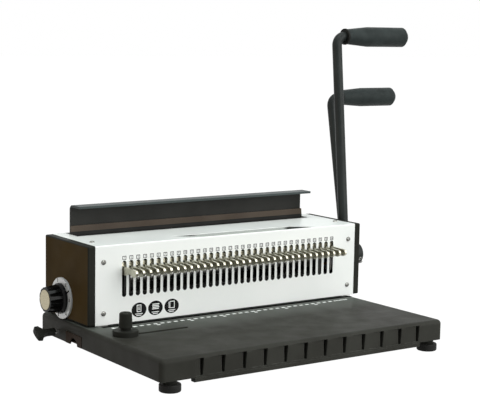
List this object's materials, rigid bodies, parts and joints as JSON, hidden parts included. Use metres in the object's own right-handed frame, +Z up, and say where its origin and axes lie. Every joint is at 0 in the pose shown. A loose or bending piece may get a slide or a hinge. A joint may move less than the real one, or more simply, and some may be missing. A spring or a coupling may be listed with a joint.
{
  "type": "coil binding machine",
  "caption": "Desk-top machine that punches a row of holes along a paper edge with one lever and closes a wire spine with another, with edge stop, depth lever and size dial.",
  "frame": {"origin": "middle of the bounding box in plan, on the floor under the feet", "axes": "+X to the operator's right, along the row of slots; +Y to the back, away from the operator; +Z up"},
  "size_m": [0.5304, 0.271, 0.3515],
  "materials": {
    "moulded_dark": "satin dark grey enamel, fine texture",
    "white_enamel": "semi-gloss white powder coat",
    "cap_dark": "matte dark moulding",
    "jaw_dark": "satin black enamel",
    "rod_black": "satin black enamel",
    "grip_foam": "matte foam",
    "nickel": "nickel plated",
    "steel": "ground steel",
    "bronze": "plain bronze",
    "rubber_black": "matte",
    "screw_steel": "bright plated",
    "silver_scale": "satin anodised",
    "gloss_black": "gloss",
    "cap_silver": "spun",
    "tray_dark": "matte"
  },
  "bodies": {
    "chassis": {"base_table": "moulded_dark", "die_seat": "moulded_dark", "foot_bosses": "moulded_dark", "margin_bearings": "moulded_dark", "bottom_plate": "steel", "front_lip": "moulded_dark", "foot_posts": "cap_dark", "foot_bumpers": "rubber_black", "foot_screws": "steel", "front_cover": "white_enamel", "rear_cover": "jaw_dark", "left_end_cap": "cap_dark", "right_end_cap": "cap_dark", "left_side_frame": "steel", "right_side_frame": "steel", "cover_screws": "screw_steel", "shaft_bushes": "bronze", "lower_die": "steel", "punch_guide": "steel", "punch_guide_pins": "steel", "comb_guides": "steel", "spine_guide": "jaw_dark", "guide_rods": "steel", "rod_brackets": "steel", "size_scale": "silver_scale", "punch_springs": "steel", "closing_springs": "steel"},
    "punch_handle": {"punch_shaft": "steel", "punch_hub": "rod_black", "punch_rod": "rod_black", "punch_collar": "rubber_black", "punch_grip": "grip_foam"},
    "punch_bar": {"punch_bar": "steel", "punch_pins": "steel"},
    "closing_handle": {"closing_shaft": "steel", "stop_finger": "steel", "closing_hub": "rod_black", "closing_rod": "rod_black", "closing_collar": "rubber_black", "closing_grip": "grip_foam"},
    "closing_jaw": {"closing_jaw": "jaw_dark", "jaw_yokes": "steel", "jaw_bushes": "bronze"},
    "hook_comb": {"hook_comb": "nickel"},
    "size_dial": {"size_knob": "gloss_black", "size_knob_cap": "cap_silver", "size_spindle": "steel", "size_cam": "steel"},
    "margin_lever": {"margin_lever": "cap_dark", "margin_spindle": "steel"},
    "depth_stop": {"depth_stop": "steel"},
    "edge_stop": {"edge_stop_disc": "cap_dark", "edge_stop_stud": "steel"},
    "edge_stop_knob": {"edge_stop_knob": "cap_dark"},
    "chip_tray": {"chip_tray": "tray_dark"}
  },
  "joints": [
    {"name": "punch_handle_turn", "type": "hinge", "parent": "chassis", "child": "punch_handle", "pos_m": [-0.05045, 0.0578, 0.0773], "axis": [1, 0, 0], "range_deg": [0, 75]},
    {"name": "punch_bar_slide", "type": "slide", "parent": "chassis", "child": "punch_bar", "axis": [0, 0, 1], "range_m": [-0.00792, 0], "deforming": ["punch_springs"]},
    {"name": "closing_handle_turn", "type": "hinge", "parent": "chassis", "child": "closing_handle", "pos_m": [-0.05045, 0.089, 0.0795], "axis": [1, 0, 0], "range_deg": [0, 77]},
    {"name": "closing_jaw_slide", "type": "slide", "parent": "chassis", "child": "closing_jaw", "axis": [0, 0, 1], "range_m": [-0.01993, 0], "deforming": ["closing_springs"]},
    {"name": "hook_comb_slide", "type": "slide", "parent": "chassis", "child": "hook_comb", "axis": [0, 0, 1], "range_m": [-0.021, 0.003]},
    {"name": "size_dial_turn", "type": "hinge", "parent": "chassis", "child": "size_dial", "pos_m": [-0.24045, 0.0782, 0.0571], "axis": [1, 0, 0], "range_deg": [-150, 150]},
    {"name": "margin_lever_turn", "type": "hinge", "parent": "chassis", "child": "margin_lever", "pos_m": [-0.25045, 0.079, 0.021], "axis": [1, 0, 0], "range_deg": [-20, 20]},
    {"name": "depth_stop_slide", "type": "slide", "parent": "chassis", "child": "depth_stop", "axis": [0, 1, 0], "range_m": [-0.00179, 0.00179]},
    {"name": "edge_stop_slide", "type": "slide", "parent": "chassis", "child": "edge_stop", "axis": [1, 0, 0], "range_m": [-0.002, 0.071]},
    {"name": "edge_stop_knob_turn", "type": "hinge", "parent": "edge_stop", "child": "edge_stop_knob", "pos_m": [-0.21545, -0.0255, 0.0485], "axis": [0, 0, 1], "range_deg": [0, 270]},
    {"name": "chip_tray_slide", "type": "slide", "parent": "chassis", "child": "chip_tray", "axis": [-1, 0, 0], "range_m": [0, 0.25]}
  ],
  "couplings": [
    {"joint": "punch_bar_slide", "follows": "punch_handle_turn", "m_per_rad": -0.0060458},
    {"joint": "closing_jaw_slide", "follows": "closing_handle_turn", "m_per_rad": -0.014823},
    {"joint": "depth_stop_slide", "follows": "margin_lever_turn", "m_per_rad": -0.005095}
  ]
}
